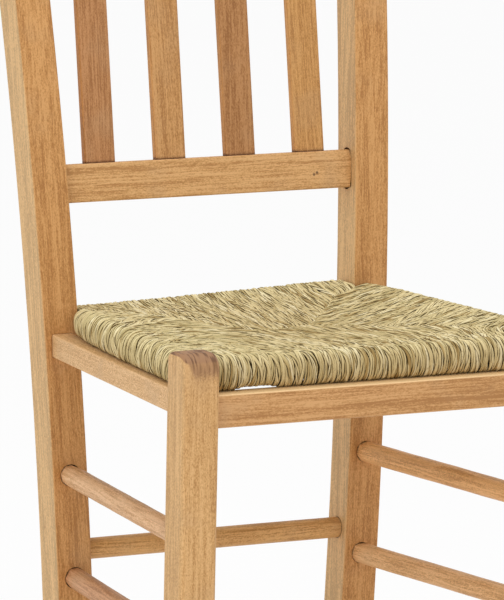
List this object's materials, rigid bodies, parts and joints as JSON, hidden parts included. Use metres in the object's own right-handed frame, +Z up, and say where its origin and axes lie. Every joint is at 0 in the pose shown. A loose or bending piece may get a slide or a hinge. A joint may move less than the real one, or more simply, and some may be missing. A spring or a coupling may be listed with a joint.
{
  "type": "dining chair",
  "caption": "Wooden dining chair with square legs, upright flat back slats between two rails, turned stretchers and a hand-woven rush seat.",
  "frame": {"origin": "on the floor, under the middle of the chair's bounding box", "axes": "+Z up, -Y towards the front of the chair, X across it with the left-hand side (seen from the front) at -X"},
  "size_m": [0.467, 0.4796, 0.88],
  "materials": {
    "post_wood": "satin, clear finished, worn at the edges",
    "slat_wood": "satin, clear finished",
    "rail_wood": "satin, clear finished",
    "stretcher_wood": "satin, turned, clear finished",
    "seat_frame_wood": "bare sawn wood",
    "rush": "twisted seagrass or rush cord, matt"
  },
  "bodies": {
    "root": {"rear_post_left": "post_wood", "rear_post_right": "post_wood", "front_leg_left": "post_wood", "front_leg_right": "post_wood", "front_apron": "rail_wood", "rear_apron": "rail_wood", "side_apron_left": "rail_wood", "side_apron_right": "rail_wood", "lower_back_rail": "rail_wood", "top_back_rail": "rail_wood", "back_slat_1": "slat_wood", "back_slat_2": "slat_wood", "back_slat_3": "slat_wood", "back_slat_4": "slat_wood", "upper_side_stretcher_left": "stretcher_wood", "upper_side_stretcher_right": "stretcher_wood", "lower_side_stretcher_left": "stretcher_wood", "lower_side_stretcher_right": "stretcher_wood", "front_stretcher": "stretcher_wood", "rear_stretcher": "stretcher_wood", "rush_seat": "rush", "seat_bar_front": "seat_frame_wood", "seat_bar_rear": "seat_frame_wood", "seat_bar_left": "seat_frame_wood", "seat_bar_right": "seat_frame_wood", "front_corner_block_left": "seat_frame_wood", "front_corner_block_right": "seat_frame_wood", "rear_corner_block_left": "seat_frame_wood", "rear_corner_block_right": "seat_frame_wood"}
  },
  "joints": []
}
